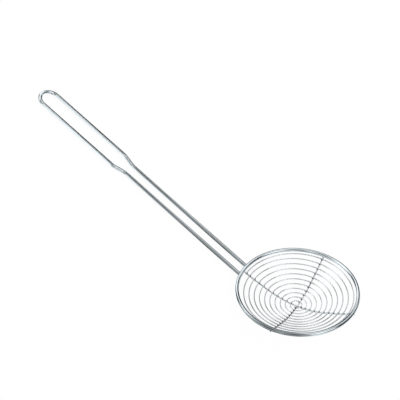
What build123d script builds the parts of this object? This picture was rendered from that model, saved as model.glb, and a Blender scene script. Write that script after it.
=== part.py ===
"""Spider skimmer: a shallow bowl of spiral wire on a long hairpin wire handle.

Five wires make it. A thick wire ring is the rim, and a hairpin of the same wire is the handle,
its two leg ends shaped to the ring's lower outer side. Two thin cross wires hang under the rim
as the bowl's ribs, one dipping under the other where they cross, and one long thin wire lies on
the ribs as a spiral from the middle to just inside the rim.

The origin is the centre of the handle's end bend, +X runs along the handle to the bowl, +Y is
across it and +Z is up, with the handle lying flat. The rim leans back by RIM_TILT.
"""
import os
from math import atan2, cos, hypot, pi, radians, sin, sqrt

from build123d import *

# Wires, in millimetres: diameters, and the film left between two wires at a weld
FRAME_WIRE = 4.0
CROSS_WIRE = 1.6
SPIRAL_WIRE = 1.2
WELD_GAP = 0.05

# Handle: centre to centre of its rods, and places along X from the end bend's centre
GRIP_SPACING = 22.2
LEG_SPACING = 14.3
GRIP_LENGTH = 100.0
HANDLE_REACH = 281.0
NECK_RADIUS = 15.0
NECK_TURN = 16.0
LEG_DROP_SHARE = 0.45

# Bowl: rim circle at the wire's centre, tilt in degrees, depth to the long rib's centre, and the
# wall's slope at the rim as a share of the mean slope
RIM_RADIUS = 61.5
RIM_TILT = 31.9
BOWL_DEPTH = 22.7
WALL_SHARE = 1.32

# Ribs: where they cross, how they turn in plan, and how far their cut ends pass the rim
HUB_ALONG = 2.1
HUB_ACROSS = -1.6
LONG_TURN = -1.7
SIDE_TURN = -1.5
TRIM_LENGTH = 0.6
STUB_LENGTH = 2.0
JOGGLE_RADIUS_SHARE = 2.2

# Spiral: from its inner end over the near side rib, out to its outer end over the handle side rib
SPIRAL_START = 2.1
SPIRAL_EYE = 3.0
RIM_CLEARANCE = 1.25
QUARTER_TURNS = 43
TAIL_SHARE = 1.25

UP = Vector(0, 0, 1)
TILT = radians(RIM_TILT)
SLOPE = WALL_SHARE * atan2(BOWL_DEPTH, RIM_RADIUS)
LEG_DROP = LEG_DROP_SHARE * FRAME_WIRE
SPIRAL_END = RIM_RADIUS - FRAME_WIRE / 2 - RIM_CLEARANCE
PITCH = (SPIRAL_END - SPIRAL_START) / (QUARTER_TURNS - 1) * 4


def unit(degrees):
    """Level direction at an angle from the bowl's +X."""
    return Vector(cos(radians(degrees)), sin(radians(degrees)), 0)


def arc(centre, start, end):
    """Arc from start to end round a centre, the short way."""
    spread = (start - centre).normalized() + (end - centre).normalized()
    middle = centre + spread.normalized() * (start - centre).length
    return ThreePointArc(start, middle, end)


def wire_along(edges, diameter):
    """Round wire of one diameter swept along a smooth chain of edges."""
    path = Wire(edges)
    start = Plane(origin=path @ 0, z_dir=path % 0)
    return sweep(start * Circle(diameter / 2), path=path)


def bowl_plane():
    """Plane of the rim wire's centre line, its +X away from the handle."""
    lean = Vector(cos(TILT), 0, sin(TILT))
    centre = Vector(HANDLE_REACH, 0, LEG_DROP) + lean * RIM_RADIUS
    return Plane(origin=centre, x_dir=lean, z_dir=Vector(-sin(TILT), 0, cos(TILT)))


class Arm:
    """Half of a rib, from the hub to the rim, drawn in its own upright plane.

    Two arcs make it, one from level at the hub and a flatter one to the wall's slope at the rim,
    where the wire passes under the rim and touches it.
    """

    def __init__(self, degrees):
        self.hub = Vector(HUB_ALONG, HUB_ACROSS, 0)
        self.out = unit(degrees)
        under = (FRAME_WIRE + CROSS_WIRE) / 2 + WELD_GAP
        self.seat_out = self.distance(RIM_RADIUS) + under * sin(SLOPE)
        self.seat_rise = BOWL_DEPTH - under * cos(SLOPE)
        ways = self.seat_out * (1 + cos(SLOPE)) + self.seat_rise * sin(SLOPE)
        turn = 2 * (1 - cos(SLOPE))
        leg = (sqrt(ways**2 + turn * (self.seat_out**2 + self.seat_rise**2)) - ways) / turn
        self.joint_out = (self.seat_out + leg * (1 - cos(SLOPE))) / 2
        self.joint_rise = (self.seat_rise - leg * sin(SLOPE)) / 2
        self.radius = (self.joint_out**2 + self.joint_rise**2) / (2 * self.joint_rise)
        self.bend = 2 * atan2(self.joint_rise, self.joint_out)
        chord = hypot(self.seat_out - self.joint_out, self.seat_rise - self.joint_rise)
        self.wall_radius = chord / (2 * sin((SLOPE - self.bend) / 2))
        self.wall_out = self.seat_out - self.wall_radius * sin(SLOPE)
        self.wall_rise = self.seat_rise + self.wall_radius * cos(SLOPE)

    def distance(self, radius):
        """Level distance from the hub to a circle, centred on the hub at no radius and on the
        rim's centre at the rim's radius."""
        offset = self.hub * (radius / RIM_RADIUS)
        along = offset.dot(self.out)
        return sqrt(radius**2 - offset.length**2 + along**2) - along

    def point(self, out, rise):
        """Point of the arm's plane, from a level distance and a height over the bowl's bottom."""
        return self.hub + self.out * out + UP * (rise - BOWL_DEPTH)

    def centre(self):
        """Centre of the arc at the hub."""
        return self.point(0, self.radius)

    def wall_centre(self):
        """Centre of the wall's arc."""
        return self.point(self.wall_out, self.wall_rise)

    def joint(self):
        """Place where the two arcs meet."""
        return self.point(self.joint_out, self.joint_rise)

    def seat(self):
        """Place on the wire's centre line under the rim."""
        return self.point(self.seat_out, self.seat_rise)

    def tip(self, past):
        """Cut end of the wire, a length past its seat."""
        return self.point(self.seat_out + past * cos(SLOPE), self.seat_rise + past * sin(SLOPE))

    def inside(self, out, lift):
        """Point a lift inside the arm at a level distance, and the slope of the arm there."""
        run = out
        radius = self.radius - lift
        height = self.radius
        if out > radius * sin(self.bend):
            run = out - self.wall_out
            radius = self.wall_radius - lift
            height = self.wall_rise
        drop = sqrt(radius**2 - run**2)
        return self.point(out, height - drop), run / drop


def joggle(arm):
    """Start, turn and end of an arm's dip at the hub, with the two centres it turns about."""
    bend = JOGGLE_RADIUS_SHARE * CROSS_WIRE
    low = -CROSS_WIRE - WELD_GAP
    dip = low + bend
    near = 2 * bend
    far = arm.radius + bend
    height = (near**2 - far**2 + arm.radius**2 - dip**2) / (2 * (arm.radius - dip))
    out = sqrt(near**2 - (height - dip) ** 2)
    dip_centre = arm.point(0, dip)
    hump_centre = arm.point(out, height)
    turn = (dip_centre + hump_centre) * (1 / 2)
    end = arm.centre() + (hump_centre - arm.centre()) * (arm.radius / far)
    return arm.point(0, low), turn, end, dip_centre, hump_centre


def rib_arm(arm, past, dips):
    """Edges of one arm from the hub outwards."""
    start = arm.point(0, 0)
    edges = []
    if dips:
        low, turn, start, dip_centre, hump_centre = joggle(arm)
        edges = [arc(dip_centre, low, turn), arc(hump_centre, turn, start)]
    edges.append(arc(arm.centre(), start, arm.joint()))
    edges.append(arc(arm.wall_centre(), arm.joint(), arm.seat()))
    edges.append(Line(arm.seat(), arm.tip(past)))
    return edges


def rib(first, first_past, second, second_past, dips):
    """Cross wire made of two arms in one line."""
    edges = rib_arm(first, first_past, dips) + rib_arm(second, second_past, dips)
    return wire_along(edges, CROSS_WIRE)


def biarc(start, start_way, end, end_way):
    """Two arcs that join two points smoothly, each given its direction of travel."""
    chord = end - start
    ways = start_way + end_way
    turn = 2 * (1 - start_way.dot(end_way))
    reach = (sqrt(chord.dot(ways) ** 2 + turn * chord.dot(chord)) - chord.dot(ways)) / turn
    joint = (start + start_way * reach + end - end_way * reach) * (1 / 2)
    first = TangentArc(start, joint, tangent=start_way)
    return [first, TangentArc(joint, end, tangent=first % 1)]


def crossing(arm, wound, square):
    """Place and direction of the spiral where it lies on an arm, going inwards.

    The spiral turns clockwise as seen from above. What is still wound falls by the pitch each
    turn, and the eye's size keeps the innermost turn open. Where the spiral is square to the arm
    it runs level, straight across.
    """
    lift = (CROSS_WIRE + SPIRAL_WIRE) / 2 + WELD_GAP
    radius = hypot(SPIRAL_EYE, wound)
    place, slope = arm.inside(arm.distance(radius), lift)
    if square:
        return place, arm.out.cross(UP)
    middle = arm.hub * (1 - radius / RIM_RADIUS)
    outward = Vector(place.X - middle.X, place.Y - middle.Y, 0).normalized()
    fall = wound * PITCH / (2 * pi * radius**2)
    downhill = (outward + UP * slope) * fall
    return place, (outward.cross(UP) - downhill).normalized()


def spiral_edges(arms):
    """Edges of the spiral from its outer end to its inner end, a biarc for each quarter turn."""
    tail = TAIL_SHARE * SPIRAL_WIRE
    places = []
    for quarter in range(QUARTER_TURNS + 1):
        left = min(QUARTER_TURNS - quarter, QUARTER_TURNS - 1)
        wound = SPIRAL_START + left * PITCH / 4
        square = quarter in (0, QUARTER_TURNS)
        places.append(crossing(arms[quarter % 4], wound, square))
    start, start_way = places[0]
    end, end_way = places[-1]
    half = SPIRAL_WIRE / 2
    edges = [Line(start - start_way * tail, start + start_way * half)]
    places[0] = (start + start_way * half, start_way)
    places[-1] = (end - end_way * half, end_way)
    for (a, a_way), (b, b_way) in zip(places, places[1:]):
        edges += biarc(a, a_way, b, b_way)
    edges.append(Line(end - end_way * half, end + end_way * tail))
    return edges


def least_gap(edges, diameter):
    """Least clear space between turns, on points along the path half a turn or more apart."""
    steps = [share / 8 for share in range(8)]
    points = [edge @ step for edge in edges for step in steps]
    apart = 4 * len(steps)
    gaps = []
    for index, point in enumerate(points):
        for other in points[index + apart :]:
            gaps.append(hypot(point.X - other.X, point.Y - other.Y, point.Z - other.Z))
    return min(gaps) - diameter


def handle_side(side):
    """Edges of one rod of the hairpin, from its leg end to the end bend, on one side of X."""
    leg = side * LEG_SPACING / 2
    grip = side * GRIP_SPACING / 2
    turn = radians(NECK_TURN)
    step = (GRIP_SPACING - LEG_SPACING) / 2
    slant = (step - 2 * NECK_RADIUS * (1 - cos(turn))) / sin(turn)
    sweep_x = NECK_RADIUS * sin(turn)
    sweep_y = side * NECK_RADIUS * (1 - cos(turn))
    grip_end = Vector(GRIP_LENGTH, grip, 0)
    outer = Vector(GRIP_LENGTH + sweep_x, grip - sweep_y, 0)
    inner = outer + Vector(slant * cos(turn), -side * slant * sin(turn), 0)
    neck_end = inner + Vector(sweep_x, -sweep_y, 0)
    set_in = RIM_RADIUS - sqrt(RIM_RADIUS**2 - leg**2)
    leg_end = Vector(HANDLE_REACH + set_in * cos(TILT), leg, 0)
    return [
        Line(leg_end, neck_end),
        arc(neck_end + Vector(0, side * NECK_RADIUS, 0), neck_end, inner),
        Line(inner, outer),
        arc(grip_end - Vector(0, side * NECK_RADIUS, 0), outer, grip_end),
        Line(grip_end, Vector(0, grip, 0)),
    ]


def handle_wire():
    """Hairpin handle, its leg ends hollowed to sit against the rim."""
    far = handle_side(1)
    near = handle_side(-1)
    bend = GRIP_SPACING / 2
    end = ThreePointArc((0, bend, 0), (-bend, 0, 0), (0, -bend, 0))
    hairpin = wire_along(far + [end] + near, FRAME_WIRE)
    return hairpin - bowl_plane() * Torus(RIM_RADIUS, FRAME_WIRE / 2 + WELD_GAP)


def build():
    """All the wires by name, in place."""
    bowl = bowl_plane()
    front = Arm(LONG_TURN)
    back = Arm(LONG_TURN + 180)
    far = Arm(SIDE_TURN + 90)
    near = Arm(SIDE_TURN - 90)
    spiral = spiral_edges([back, far, front, near])
    print(f"spiral turns {QUARTER_TURNS / 4}, least gap {least_gap(spiral, SPIRAL_WIRE):.2f} mm")
    return {
        "handle_wire": handle_wire(),
        "rim_ring": bowl * Torus(RIM_RADIUS, FRAME_WIRE / 2),
        "long_rib": bowl * rib(back, TRIM_LENGTH, front, TRIM_LENGTH, False),
        "side_rib": bowl * rib(far, TRIM_LENGTH, near, STUB_LENGTH, True),
        "spiral_wire": bowl * wire_along(spiral, SPIRAL_WIRE),
    }


os.makedirs("parts", exist_ok=True)
for name, shape in build().items():
    export_step(shape, f"parts/{name}.step")
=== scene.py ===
"""Spider skimmer: the finish of its wires, the welds that join them and the studio round it.

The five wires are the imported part's own nodes. The welds are new surfaces, placed by the same
driving sizes as the part, in millimetres in the part's frame. The studio is a set of soft-edged
panels round a plain white stage. Only glossy rays see them, and the bright wire mirrors them.
"""

import bpy
import numpy as np
from mathutils import Matrix, Vector


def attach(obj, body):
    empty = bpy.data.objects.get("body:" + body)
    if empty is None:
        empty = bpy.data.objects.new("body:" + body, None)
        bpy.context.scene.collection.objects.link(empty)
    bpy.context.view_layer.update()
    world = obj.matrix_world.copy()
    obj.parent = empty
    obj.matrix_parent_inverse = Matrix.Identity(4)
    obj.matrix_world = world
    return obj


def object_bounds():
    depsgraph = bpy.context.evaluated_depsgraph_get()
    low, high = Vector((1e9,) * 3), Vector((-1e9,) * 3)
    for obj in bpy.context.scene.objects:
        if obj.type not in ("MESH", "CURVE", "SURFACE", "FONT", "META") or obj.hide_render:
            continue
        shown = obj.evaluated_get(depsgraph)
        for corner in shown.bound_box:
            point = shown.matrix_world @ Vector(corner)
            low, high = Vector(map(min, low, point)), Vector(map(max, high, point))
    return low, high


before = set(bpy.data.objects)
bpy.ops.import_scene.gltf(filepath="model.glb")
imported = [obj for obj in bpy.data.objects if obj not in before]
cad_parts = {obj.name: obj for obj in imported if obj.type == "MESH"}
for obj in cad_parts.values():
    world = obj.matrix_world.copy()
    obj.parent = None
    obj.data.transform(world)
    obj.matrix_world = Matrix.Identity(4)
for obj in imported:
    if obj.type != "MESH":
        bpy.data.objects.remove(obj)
cad_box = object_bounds()

MM = 0.001
WHITE = (1, 1, 1, 1)

# Wires: diameters, and the film of air left between two wires at a weld
FRAME_WIRE = 4.0
CROSS_WIRE = 1.6
SPIRAL_WIRE = 1.2
WELD_GAP = 0.05

# Handle and bowl, as in the part: lengths, turns in degrees, and two shares
LEG_SPACING = 14.3
HANDLE_REACH = 281.0
LEG_DROP_SHARE = 0.45
RIM_RADIUS = 61.5
RIM_TILT = 31.9
BOWL_DEPTH = 22.7
WALL_SHARE = 1.32
HUB = np.array([2.1, -1.6, 0.0])
LONG_TURN = -1.7
SIDE_TURN = -1.5
SPIRAL_START = 2.1
SPIRAL_EYE = 3.0
RIM_CLEARANCE = 1.25
QUARTER_TURNS = 43

# What follows from them: the rim's tilt and the wall's slope in radians, how far the legs run
# below the rim's centre line where they meet it, the spiral's last radius, and where along X the
# bowl's middle is
TILT = np.radians(RIM_TILT)
SLOPE = WALL_SHARE * np.arctan2(BOWL_DEPTH, RIM_RADIUS)
LEG_DROP = LEG_DROP_SHARE * FRAME_WIRE
SPIRAL_END = RIM_RADIUS - FRAME_WIRE / 2 - RIM_CLEARANCE
BOWL_MIDDLE = HANDLE_REACH + RIM_RADIUS * np.cos(TILT)

# Weld nuggets: three radii, the last one up from the rib, as shares of the spiral's wire where it
# crosses a rib, and of the rib's wire at the hub and the rim. The bead round a leg: its radius, as
# a share of the leg's wire.
SPIRAL_NUGGET_SHARES = (1.05, 0.95, 0.85)
HUB_NUGGET_SHARES = (1.0, 1.0, 0.7)
RIM_NUGGET_SHARES = (0.6, 0.5, 0.35)
BEAD_SHARE = 0.07

# Bright metals: colour where clear, colour in the faint cloudy patches, and roughness
PLATED = ((0.83, 0.905, 0.94), (0.755, 0.835, 0.87), 0.03)
DRAWN = ((0.905, 0.945, 0.97), (0.82, 0.87, 0.90), 0.05)
BRUSHED = ((0.89, 0.965, 0.995), (0.82, 0.90, 0.935), 0.22)

# Weld metal: a dark grey, partly the weld's own metal and partly painted shade where the wires
# cross, the brown of the heat, and the roughness under its grain
WELD_GREY_AND_SHADE = (0.10, 0.11, 0.12)
WELD_BROWN = (0.04, 0.035, 0.03)
WELD_ROUGHNESS = 0.35

# Patterns on the metal: how many patches there are to a metre, and how many finer layers
CLOUDS = (90.0, 2.0)
PITS = (1400.0, 3.0)
BLOTCHES = (700.0, 3.0)
GRAIN = (2600.0, 2.0)

# A pattern's levels run from 0 to 1: the middle, and where clouds and blotches start and are full
PATTERN_MIDDLE = 0.5
CLOUD_LEVELS = (0.45, 0.75)
BLOTCH_LEVELS = (0.4, 0.65)

# What the patterns add to the roughness, and their bumps: strength, and depth in millimetres
CLOUD_ROUGHNESS = 0.04
PIT_ROUGHNESS = 0.02
GRAIN_ROUGHNESS = 0.2
PIT_BUMP = (0.05, 0.01)
GRAIN_BUMP = (0.4, 0.05)

# Painted shade on the metal: a dark film that stands for the darker reflections on one side of a
# wire. The side that it grows towards, in degrees round the bowl from its front, where it starts
# and is full, in millimetres towards that side from the bowl's middle, and the share of the metal
# that it hides where it is full. The legs, behind the bowl, are at places below zero.
RIM_PAINTED_SHADE = [(-88, 47, 60, 0.60), (-8, 53, 60, 0.16)]
SPIRAL_PAINTED_SHADE = [(-118, 8, 46, 0.30), (8, 30, 46, 0.18)]
LEG_PAINTED_SHADE = [(0, -262, -240, 0.20)]

# Colour of the painted shade, and how far the clouds shift its edge, in millimetres
PAINTED_SHADE_COLOUR = (0.08, 0.10, 0.10)
PAINTED_SHADE_DRIFT = 6.0

# Where the bending tools rubbed the handle: the middle along it, how far it reaches to each side
# and half the width of its soft edge, in millimetres, and how much rougher the wire is there
RUBBED = {
    "neck": (109.0, 9.0, 3.0, 0.20),
    "loop": (-3.0, 7.0, 3.0, 0.12),
}

# White sheet: half its size and how far it lies under the part, in millimetres, its paper, and
# how much of it glows for the camera and how brightly, so that only its shadow isn't white
SHEET_HALF = 3000.0
SHEET_DROP = 0.2
SHEET_PAPER = (0.9, 0.9, 0.9, 1)
SHEET_GLOW = 0.9
SHEET_BRIGHT = 1.015

# Camera, fitted to the photograph together with the part's sizes: place in millimetres, line of
# sight and up. Then, in millimetres too, the lens, the width of its frame, and the nearest and
# furthest that it sees.
CAMERA_PLACE = Vector((236.75, -447.39, 525.67))
CAMERA_SIGHT = Vector((-0.058504, 0.675193, -0.735317))
CAMERA_UP = Vector((-0.659978, 0.526487, 0.535948))
CAMERA_LENS = 57.62
CAMERA_FRAME = 36.0
CAMERA_NEAR = 10.0
CAMERA_FAR = 20000.0

# Studio round the bright wire: the level between the panels, half the width of a panel's soft
# edge in degrees, and the panels. Each has azimuth and half width, elevation and half height, in
# degrees, and its level. Azimuth 0 is +X, where the bowl is, and the camera is near -85. The
# panels were begun one by one, fitted by least squares to the tones of the photographed wires and
# rounded.
STUDIO_LEVEL = 0.0
PANEL_EDGE = 6.0
PANELS = {
    "bowl side sweep": (15, 60, -24, 46, 0.80),
    "overhead bowl box": (-20, 56, 65, 24, 1.50),
    "handle side box": (-174, 51, 8, 23, 1.15),
    "back handle box": (133, 34, 46, 19, 1.20),
    "bowl side flag": (20, 38, 42, 28, 0.00),
    "back flag": (100, 19, 50, 53, 0.00),
    "front left strip": (-112, 16, -30, 66, 1.12),
    "front left box": (-127, 12, 2, 69, 0.96),
    "handle side flag": (170, 10, -25, 42, 0.01),
    "back floor": (113, 58, -69, 25, 1.50),
    "handle side floor": (-172, 56, -70, 20, 0.82),
    "back overhead box": (90, 16, 61, 21, 1.48),
    "front strip": (-77, 6, -33, 40, 1.50),
    "front overhead flag": (-88, 11, 41, 53, 0.36),
    "front left flag": (-133, 21, 13, 18, 0.07),
    "bowl side veil": (-16, 19, 57, 13, 1.04),
    "front right strip": (-62, 6, 7, 24, 1.09),
    "back overhead veil": (83, 11, 68, 27, 0.79),
    "front veil": (-81, 5, -41, 16, 0.60),
    "handle side strip": (-155, 5, 17, 46, 1.39),
    "back overhead flag": (121, 9, 73, 21, 0.02),
    "overhead handle box": (-174, 11, 79, 14, 1.50),
}


class Number:
    """One number in a node tree, whose arithmetic adds Math nodes."""

    def __init__(self, nodes, socket):
        self.nodes = nodes
        self.socket = socket

    def math(self, operation, *others):
        return self.nodes.math(operation, self, *others)

    def __add__(self, other):
        return self.math("ADD", other)

    def __sub__(self, other):
        return self.math("SUBTRACT", other)

    def __mul__(self, other):
        return self.math("MULTIPLY", other)

    def __rsub__(self, other):
        return self.nodes.math("SUBTRACT", other, self)

    __radd__ = __add__
    __rmul__ = __mul__


class Nodes:
    """The node tree of a material or of the world."""

    def __init__(self, owner):
        owner.use_nodes = True
        self.tree = owner.node_tree
        self.tree.nodes.clear()

    def add(self, kind, settings, sockets):
        """Adds a node with its settings, and gives its sockets values or links."""
        node = self.tree.nodes.new(kind)
        for name, setting in settings.items():
            setattr(node, name, setting)
        for name, value in sockets.items():
            if isinstance(value, Number):
                self.tree.links.new(value.socket, node.inputs[name])
            elif isinstance(value, bpy.types.NodeSocket):
                self.tree.links.new(value, node.inputs[name])
            else:
                node.inputs[name].default_value = value
        return node

    def math(self, operation, *values):
        sockets = dict(enumerate(values))
        node = self.add("ShaderNodeMath", {"operation": operation}, sockets)
        return Number(self, node.outputs[0])

    def smooth(self, value, start, end):
        """0 below start, 1 above end, with a smooth rise between."""
        sockets = {"Value": value, "From Min": start, "From Max": end}
        node = self.add("ShaderNodeMapRange", {"interpolation_type": "SMOOTHSTEP"}, sockets)
        return Number(self, node.outputs["Result"])

    def noise(self, point, scale, detail):
        """A pattern at a point, with so many patches to a metre and so many finer layers."""
        sockets = {"Vector": point, "Scale": scale, "Detail": detail}
        node = self.add("ShaderNodeTexNoise", {}, sockets)
        return Number(self, node.outputs["Fac"])

    def blend(self, factor, first, second):
        """Colour between two colours, each written as three shares or taken from a node."""
        node = self.add("ShaderNodeMix", {"data_type": "RGBA"}, {"Factor": factor})
        for socket, colour in ((node.inputs[6], first), (node.inputs[7], second)):
            if isinstance(colour, tuple):
                socket.default_value = (*colour, 1)
            else:
                self.tree.links.new(colour, socket)
        return node.outputs[2]

    def bare_metal(self, colour, roughness, height, strength, depth):
        """Ends the tree in bare metal, with a pattern as its bump, of a depth in millimetres."""
        bumps = {"Height": height, "Strength": strength, "Distance": depth * MM}
        bump = self.add("ShaderNodeBump", {}, bumps)
        sockets = {
            "Base Color": colour,
            "Metallic": 1.0,
            "Roughness": roughness,
            "Normal": bump.outputs["Normal"],
        }
        shader = self.add("ShaderNodeBsdfPrincipled", {}, sockets)
        self.add("ShaderNodeOutputMaterial", {}, {"Surface": shader.outputs[0]})


class Arm:
    """Half of a rib from the hub to the rim: an arc at the hub, then a flatter one to the rim.

    The arcs leave the hub level, meet the rim at the wall's slope and are tangent to each other.
    Their joint is half way between a point one leg out along the hub's tangent and a point one
    leg back along the wall's, and the leg is the length with which that holds.
    """

    def __init__(self, degrees):
        turn = np.radians(degrees)
        self.out = np.array([np.cos(turn), np.sin(turn), 0])
        under = (FRAME_WIRE + CROSS_WIRE) / 2 + WELD_GAP
        self.seat_out = self.distance(RIM_RADIUS) + under * np.sin(SLOPE)
        seat_rise = BOWL_DEPTH - under * np.cos(SLOPE)
        along = self.seat_out * (1 + np.cos(SLOPE)) + seat_rise * np.sin(SLOPE)
        spread = 2 * (1 - np.cos(SLOPE))
        leg = (np.sqrt(along**2 + spread * (self.seat_out**2 + seat_rise**2)) - along) / spread
        joint_out = (self.seat_out + leg * (1 - np.cos(SLOPE))) / 2
        joint_rise = (seat_rise - leg * np.sin(SLOPE)) / 2
        self.radius = (joint_out**2 + joint_rise**2) / (2 * joint_rise)
        self.bend = 2 * np.arctan2(joint_rise, joint_out)
        chord = np.hypot(self.seat_out - joint_out, seat_rise - joint_rise)
        self.wall_radius = chord / (2 * np.sin((SLOPE - self.bend) / 2))
        self.wall_out = self.seat_out - self.wall_radius * np.sin(SLOPE)
        self.wall_rise = seat_rise + self.wall_radius * np.cos(SLOPE)

    def distance(self, radius):
        """Level distance from the hub to a circle whose centre slides from hub to rim centre."""
        offset = HUB * (radius / RIM_RADIUS)
        along = offset @ self.out
        return np.sqrt(radius**2 - offset @ offset + along**2) - along

    def place(self, out, rise):
        """Point of the arm's plane."""
        return HUB + self.out * out + np.array([0, 0, rise - BOWL_DEPTH])

    def seat(self, out, lift):
        """Point a lift inside the arm at a level distance, with the ways across, out and up."""
        near = out < (self.radius - lift) * np.sin(self.bend)
        run = out if near else out - self.wall_out
        radius = (self.radius if near else self.wall_radius) - lift
        height = self.radius if near else self.wall_rise
        drop = np.sqrt(radius**2 - run**2)
        way = (self.out * drop + np.array([0, 0, run])) / radius
        up = (np.array([0, 0, drop]) - self.out * run) / radius
        return self.place(out, height - drop), [np.cross(way, up), way, up]


def from_bowl(points):
    """Points of the bowl's own frame, put in the part's frame: turned back by the rim's tilt."""
    lean = np.array([np.cos(TILT), 0, np.sin(TILT)])
    back = np.array([-np.sin(TILT), 0, np.cos(TILT)])
    centre = np.array([HANDLE_REACH, 0, LEG_DROP]) + lean * RIM_RADIUS
    across = np.array([0, 1, 0])
    return centre + points[..., :1] * lean + points[..., 1:2] * across + points[..., 2:] * back


def add_piece(name, points, faces, material):
    """Puts a surface, given in millimetres, into the scene as a smooth piece of the part."""
    mesh = bpy.data.meshes.new(name)
    mesh.from_pydata(points * MM, [], faces)
    mesh.shade_smooth()
    mesh.materials.append(material)
    piece = bpy.data.objects.new(name, mesh)
    bpy.context.scene.collection.objects.link(piece)
    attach(piece, "root")


def nuggets(centres, ways, radii, rows, columns):
    """Points and faces of many weld nuggets, each an ellipsoid with rows from pole to pole.

    A point is the centre plus three steps, each a radius along its way. The first radius is
    multiplied by the cosines of latitude and longitude, the second by the cosine of latitude and
    the sine of longitude, and the third by the sine of latitude. A pole is one point.
    """
    latitude = np.linspace(-np.pi / 2, np.pi / 2, rows)[1:-1, None]
    longitude = np.arange(columns) * 2 * np.pi / columns
    ball = np.stack(
        [
            np.cos(latitude) * np.cos(longitude),
            np.cos(latitude) * np.sin(longitude),
            np.sin(latitude) * np.ones(columns),
        ],
        axis=-1,
    ).reshape(-1, 3)
    ball = np.concatenate([[[0, 0, -1]], ball, [[0, 0, 1]]]) * radii
    points = centres[:, None] + np.einsum("pk,nkc->npc", ball, ways)
    grid = 1 + np.arange((rows - 2) * columns).reshape(rows - 2, columns)
    after = np.roll(grid, -1, axis=1)
    walls = np.stack([grid[:-1], after[:-1], after[1:], grid[1:]], axis=-1).reshape(-1, 4)
    last = grid.size + 1
    foot = np.stack([np.zeros(columns, int), after[0], grid[0]], axis=-1)
    head = np.stack([np.full(columns, last), grid[-1], after[-1]], axis=-1)
    faces = []
    for number in range(len(centres)):
        first = number * (last + 1)
        faces += (walls + first).tolist() + (foot + first).tolist() + (head + first).tolist()
    return points.reshape(-1, 3), faces


def bead(centre_line, radius, sides=8):
    """Points and faces of a weld bead: a small circle carried once round a closed path.

    A point is the path's, plus the radius times the cosine of its turn away from the path's
    middle and times the sine of its turn along the third way, square to that and to the path.
    """
    ahead = np.roll(centre_line, -1, axis=0) - np.roll(centre_line, 1, axis=0)
    ahead /= np.linalg.norm(ahead, axis=1, keepdims=True)
    outward = centre_line - centre_line.mean(axis=0)
    outward -= (outward * ahead).sum(axis=1, keepdims=True) * ahead
    outward /= np.linalg.norm(outward, axis=1, keepdims=True)
    third = np.cross(ahead, outward)
    turn = np.arange(sides) * 2 * np.pi / sides
    circle = np.cos(turn)[:, None] * outward[:, None] + np.sin(turn)[:, None] * third[:, None]
    points = (centre_line[:, None] + radius * circle).reshape(-1, 3)
    grid = np.arange(len(points)).reshape(-1, sides)
    after = np.roll(grid, -1, axis=0)
    faces = np.stack([grid, np.roll(grid, -1, 1), np.roll(after, -1, 1), after], -1)
    return points, faces.reshape(-1, 4).tolist()


def saddle(side, steps=48, halvings=30):
    """Line where a leg's round wire meets the rim's, one point for each turn round the leg.

    Each point lies on the leg's surface between a place well outside the rim and one inside it.
    Halving that stretch again and again leaves the place whose distance from the rim's centre
    line is the wire's radius.
    """
    turn = np.arange(steps) * 2 * np.pi / steps
    radius = FRAME_WIRE / 2
    y = side * LEG_SPACING / 2 + radius * np.cos(turn)
    z = radius * np.sin(turn)
    set_in = RIM_RADIUS - np.sqrt(RIM_RADIUS**2 - (LEG_SPACING / 2) ** 2)
    near = np.full(steps, HANDLE_REACH - 2 * FRAME_WIRE)
    far = np.full(steps, HANDLE_REACH + set_in * np.cos(TILT))
    for _ in range(halvings):
        middle = (near + far) / 2
        lean = (middle - HANDLE_REACH) * np.cos(TILT) + (z - LEG_DROP) * np.sin(TILT) - RIM_RADIUS
        back = -(middle - HANDLE_REACH) * np.sin(TILT) + (z - LEG_DROP) * np.cos(TILT)
        clear = np.hypot(np.hypot(lean, y) - RIM_RADIUS, back) > radius
        near = np.where(clear, middle, near)
        far = np.where(clear, far, middle)
    return np.stack([near, y, z], axis=1)


def bright_wire(name, metal, painted_shades=(), rubbed=()):
    """Drawn or plated steel wire: a cool bright metal with faint cloudy patches and fine pits.

    Where it is rubbed, near a place along the handle, the metal is rougher. Painted shade, a dark
    film, darkens it towards one side to stand for darker reflections there. How far out a point
    lies towards that side is its place from the bowl's middle, along the side's way in the rim's
    plane, shifted a little by the clouds.
    """
    material = bpy.data.materials.new(name)
    nodes = Nodes(material)
    place = nodes.add("ShaderNodeTexCoord", {}, {}).outputs["Object"]
    parts = nodes.add("ShaderNodeSeparateXYZ", {}, {"Vector": place})
    x, y = (Number(nodes, socket) for socket in parts.outputs[:2])
    cloud = nodes.noise(place, *CLOUDS)
    pits = nodes.noise(place, *PITS)
    clear, cloudy, roughness = metal
    shade = nodes.blend(nodes.smooth(cloud, *CLOUD_LEVELS), clear, cloudy)
    for middle, half, edge, rise in rubbed:
        aside = (x - middle * MM).math("ABSOLUTE")
        roughness = roughness + nodes.smooth(half * MM - aside, -edge * MM, edge * MM) * rise
    # Painted shade: each dark film darkens the metal towards one side, standing for darker
    # reflections there.
    for side, start, full, share in painted_shades:
        lean = (x - BOWL_MIDDLE * MM) * (np.cos(np.radians(side)) / np.cos(TILT))
        drift = (cloud - PATTERN_MIDDLE) * (PAINTED_SHADE_DRIFT * MM)
        aside = lean + y * np.sin(np.radians(side)) + drift
        shade = nodes.blend(nodes.smooth(aside, start * MM, full * MM) * share, shade, PAINTED_SHADE_COLOUR)
    roughness = roughness + cloud * CLOUD_ROUGHNESS + pits * PIT_ROUGHNESS
    nodes.bare_metal(shade, roughness, pits, *PIT_BUMP)
    return material


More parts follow.
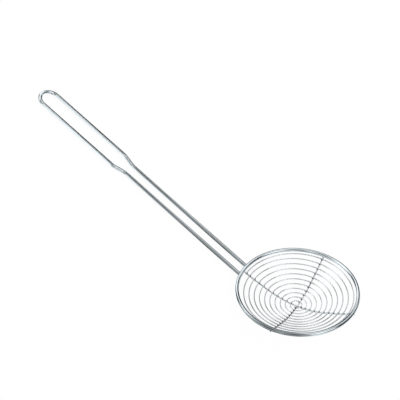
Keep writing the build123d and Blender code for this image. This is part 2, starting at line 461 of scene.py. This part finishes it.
def weld_metal():
    """Resistance weld: dull grey metal, browned in blotches by the heat. Its grey is darkened as
    painted shade where the wires cross.
    """
    material = bpy.data.materials.new("weld_metal")
    nodes = Nodes(material)
    place = nodes.add("ShaderNodeTexCoord", {}, {}).outputs["Object"]
    blotch = nodes.smooth(nodes.noise(place, *BLOTCHES), *BLOTCH_LEVELS)
    grain = nodes.noise(place, *GRAIN)
    # The dark grey is partly painted shade where the wires cross.
    shade = nodes.blend(blotch, WELD_GREY_AND_SHADE, WELD_BROWN)
    nodes.bare_metal(shade, WELD_ROUGHNESS + grain * GRAIN_ROUGHNESS, grain, *GRAIN_BUMP)
    return material


def add_nuggets(name, seats, radii, material, rows=7, columns=12):
    """Puts nuggets, each given as a centre and three ways in the bowl's frame, into the scene."""
    centres, ways = (np.array(values) for values in zip(*seats))
    turned = from_bowl(ways) - from_bowl(np.zeros(3))
    points, faces = nuggets(from_bowl(centres), turned, radii, rows, columns)
    add_piece(name, points, faces, material)


def spiral_welds(arms, material):
    """A nugget at every place where the spiral lies on a rib, a little longer along the spiral."""
    step = (SPIRAL_END - SPIRAL_START) / (QUARTER_TURNS - 1)
    seats = []
    for quarter in range(QUARTER_TURNS + 1):
        left = min(QUARTER_TURNS - quarter, QUARTER_TURNS - 1)
        radius = np.hypot(SPIRAL_EYE, SPIRAL_START + left * step)
        arm = arms[quarter % len(arms)]
        seats.append(arm.seat(arm.distance(radius), CROSS_WIRE / 2 + WELD_GAP))
    radii = np.array(SPIRAL_NUGGET_SHARES) * SPIRAL_WIRE
    add_nuggets("spiral_welds", seats, radii, material)


def hub_weld(long_arm, side_arm, material):
    """The nugget between the two ribs where one dips under the other."""
    centre = long_arm.place(0, -(CROSS_WIRE + WELD_GAP) / 2)
    seats = [(centre, [long_arm.out, side_arm.out, [0, 0, 1]])]
    radii = np.array(HUB_NUGGET_SHARES) * CROSS_WIRE
    add_nuggets("hub_weld", seats, radii, material, rows=10, columns=20)


def rim_welds(arms, material):
    """The four nuggets between the ribs' ends and the under side of the rim."""
    seats = [arm.seat(arm.seat_out - CROSS_WIRE / 2, CROSS_WIRE / 2) for arm in arms]
    radii = np.array(RIM_NUGGET_SHARES) * CROSS_WIRE
    add_nuggets("rim_welds", seats, radii, material, rows=10, columns=20)


def leg_welds(material):
    """A bead round each leg's end where it meets the rim."""
    for name, side in (("leg_weld_left", 1), ("leg_weld_right", -1)):
        points, faces = bead(saddle(side), BEAD_SHARE * FRAME_WIRE)
        add_piece(name, points, faces, material)


def studio():
    """World: white to the camera and to dull surfaces, soft-edged panels to glossy rays.

    Each panel in turn is laid over the ones before it. Its share of a direction is one smooth
    step in azimuth times one in elevation, each half way up at the panel's edge.
    """
    world = bpy.data.worlds.new("studio")
    bpy.context.scene.world = world
    nodes = Nodes(world)
    way = nodes.add("ShaderNodeTexCoord", {}, {}).outputs["Generated"]
    parts = nodes.add("ShaderNodeSeparateXYZ", {}, {"Vector": way})
    x, y, z = (Number(nodes, socket) for socket in parts.outputs)
    azimuth = y.math("ARCTAN2", x) * np.degrees(1)
    elevation = z.math("ARCSINE") * np.degrees(1)
    level = STUDIO_LEVEL
    for centre, width, middle, height, bright in PANELS.values():
        aside = (azimuth - centre).math("WRAP", 180.0, -180.0).math("ABSOLUTE")
        above = (elevation - middle).math("ABSOLUTE")
        across = nodes.smooth(width - aside, -PANEL_EDGE, PANEL_EDGE)
        upright = nodes.smooth(height - above, -PANEL_EDGE, PANEL_EDGE)
        level = level + (bright - level) * across * upright
    ray = nodes.add("ShaderNodeLightPath", {}, {})
    glossy = Number(nodes, ray.outputs["Is Glossy Ray"])
    sockets = {"Color": WHITE, "Strength": 1 + (level - 1) * glossy}
    shader = nodes.add("ShaderNodeBackground", {}, sockets)
    nodes.add("ShaderNodeOutputWorld", {}, {"Surface": shader.outputs[0]})


def floor():
    """White sheet under the part, with its soft shadow. Glossy rays see the panels through it."""
    half = SHEET_HALF * MM
    low = cad_box[0].z - SHEET_DROP * MM
    corners = [(-half, -half, low), (half, -half, low), (half, half, low), (-half, half, low)]
    mesh = bpy.data.meshes.new("floor")
    mesh.from_pydata(corners, [], [(0, 1, 2, 3)])
    material = bpy.data.materials.new("white_sheet")
    nodes = Nodes(material)
    paper = nodes.add("ShaderNodeBsdfDiffuse", {}, {"Color": SHEET_PAPER})
    glow = nodes.add("ShaderNodeEmission", {}, {"Color": WHITE, "Strength": SHEET_BRIGHT})
    ray = nodes.add("ShaderNodeLightPath", {}, {})
    share = Number(nodes, ray.outputs["Is Camera Ray"]) * SHEET_GLOW
    sockets = {0: share, 1: paper.outputs[0], 2: glow.outputs[0]}
    mixed = nodes.add("ShaderNodeMixShader", {}, sockets)
    nodes.add("ShaderNodeOutputMaterial", {}, {"Surface": mixed.outputs[0]})
    mesh.materials.append(material)
    sheet = bpy.data.objects.new("floor", mesh)
    sheet.visible_glossy = False
    bpy.context.scene.collection.objects.link(sheet)


def camera():
    """The photograph's camera."""
    data = bpy.data.cameras.new("camera")
    data.sensor_width = CAMERA_FRAME
    data.lens = CAMERA_LENS
    data.clip_start = CAMERA_NEAR * MM
    data.clip_end = CAMERA_FAR * MM
    right = CAMERA_SIGHT.cross(CAMERA_UP).normalized()
    up = right.cross(CAMERA_SIGHT).normalized()
    turn = Matrix((right, up, -CAMERA_SIGHT.normalized())).transposed()
    seen = bpy.data.objects.new("camera", data)
    seen.matrix_world = Matrix.Translation(CAMERA_PLACE * MM) @ turn.to_4x4()
    bpy.context.scene.collection.objects.link(seen)
    bpy.context.scene.camera = seen


for spare in ("Cube", "Light", "Camera"):
    if spare in bpy.data.objects:
        bpy.data.objects.remove(bpy.data.objects[spare])
camera()
studio()
floor()

# The rim, the spiral and the legs of the handle carry painted shade.
WIRES = {
    "handle_wire": bright_wire("heavy_wire", PLATED, LEG_PAINTED_SHADE, RUBBED.values()),
    "rim_ring": bright_wire("rim_wire", PLATED, RIM_PAINTED_SHADE),
    "long_rib": bright_wire("satin_wire", BRUSHED),
    "side_rib": bright_wire("bowl_wire", DRAWN),
    "spiral_wire": bright_wire("spiral_wire", DRAWN, SPIRAL_PAINTED_SHADE),
}
for node, material in WIRES.items():
    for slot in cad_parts[node].material_slots:
        slot.material = material

WELD = weld_metal()
back, far, front, near = (
    Arm(degrees) for degrees in (LONG_TURN + 180, SIDE_TURN + 90, LONG_TURN, SIDE_TURN - 90)
)
spiral_welds((back, far, front, near), WELD)
hub_weld(front, far, WELD)
rim_welds((back, far, front, near), WELD)
leg_welds(WELD)

bpy.context.scene.view_settings.view_transform = "Standard"
